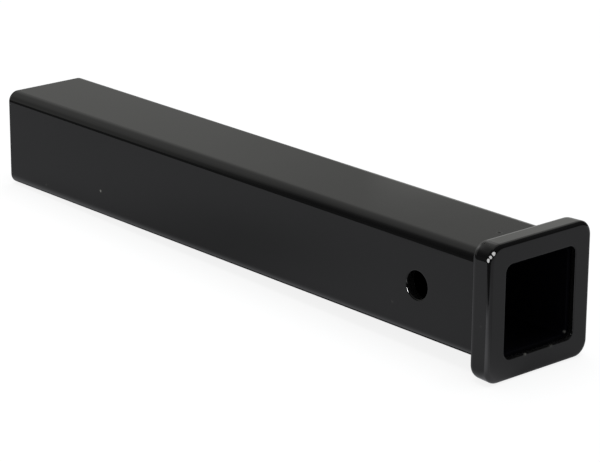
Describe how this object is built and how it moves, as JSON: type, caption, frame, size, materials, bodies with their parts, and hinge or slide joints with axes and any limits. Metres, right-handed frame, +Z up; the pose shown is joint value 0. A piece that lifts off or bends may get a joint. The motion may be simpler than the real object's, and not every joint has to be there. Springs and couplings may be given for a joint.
{
  "type": "receiver tube",
  "caption": "Square steel hitch receiver tube with a reinforcing collar welded round its mouth and a cross hole for the hitch pin.",
  "frame": {"origin": "where the pin hole's axis crosses the tube's axis", "axes": "+X along the tube and out of its mouth, Y along the pin hole, +Z up"},
  "size_m": [0.4572, 0.0804, 0.0804],
  "materials": {
    "tube_coat": "semi-gloss black powder coat over rolled steel",
    "collar_coat": "semi-gloss black powder coat over forged steel",
    "weld_coat": "semi-gloss black powder coat over a fillet weld"
  },
  "bodies": {
    "root": {"receiver_tube": "tube_coat", "collar": "collar_coat", "collar_weld": "weld_coat"}
  },
  "joints": []
}
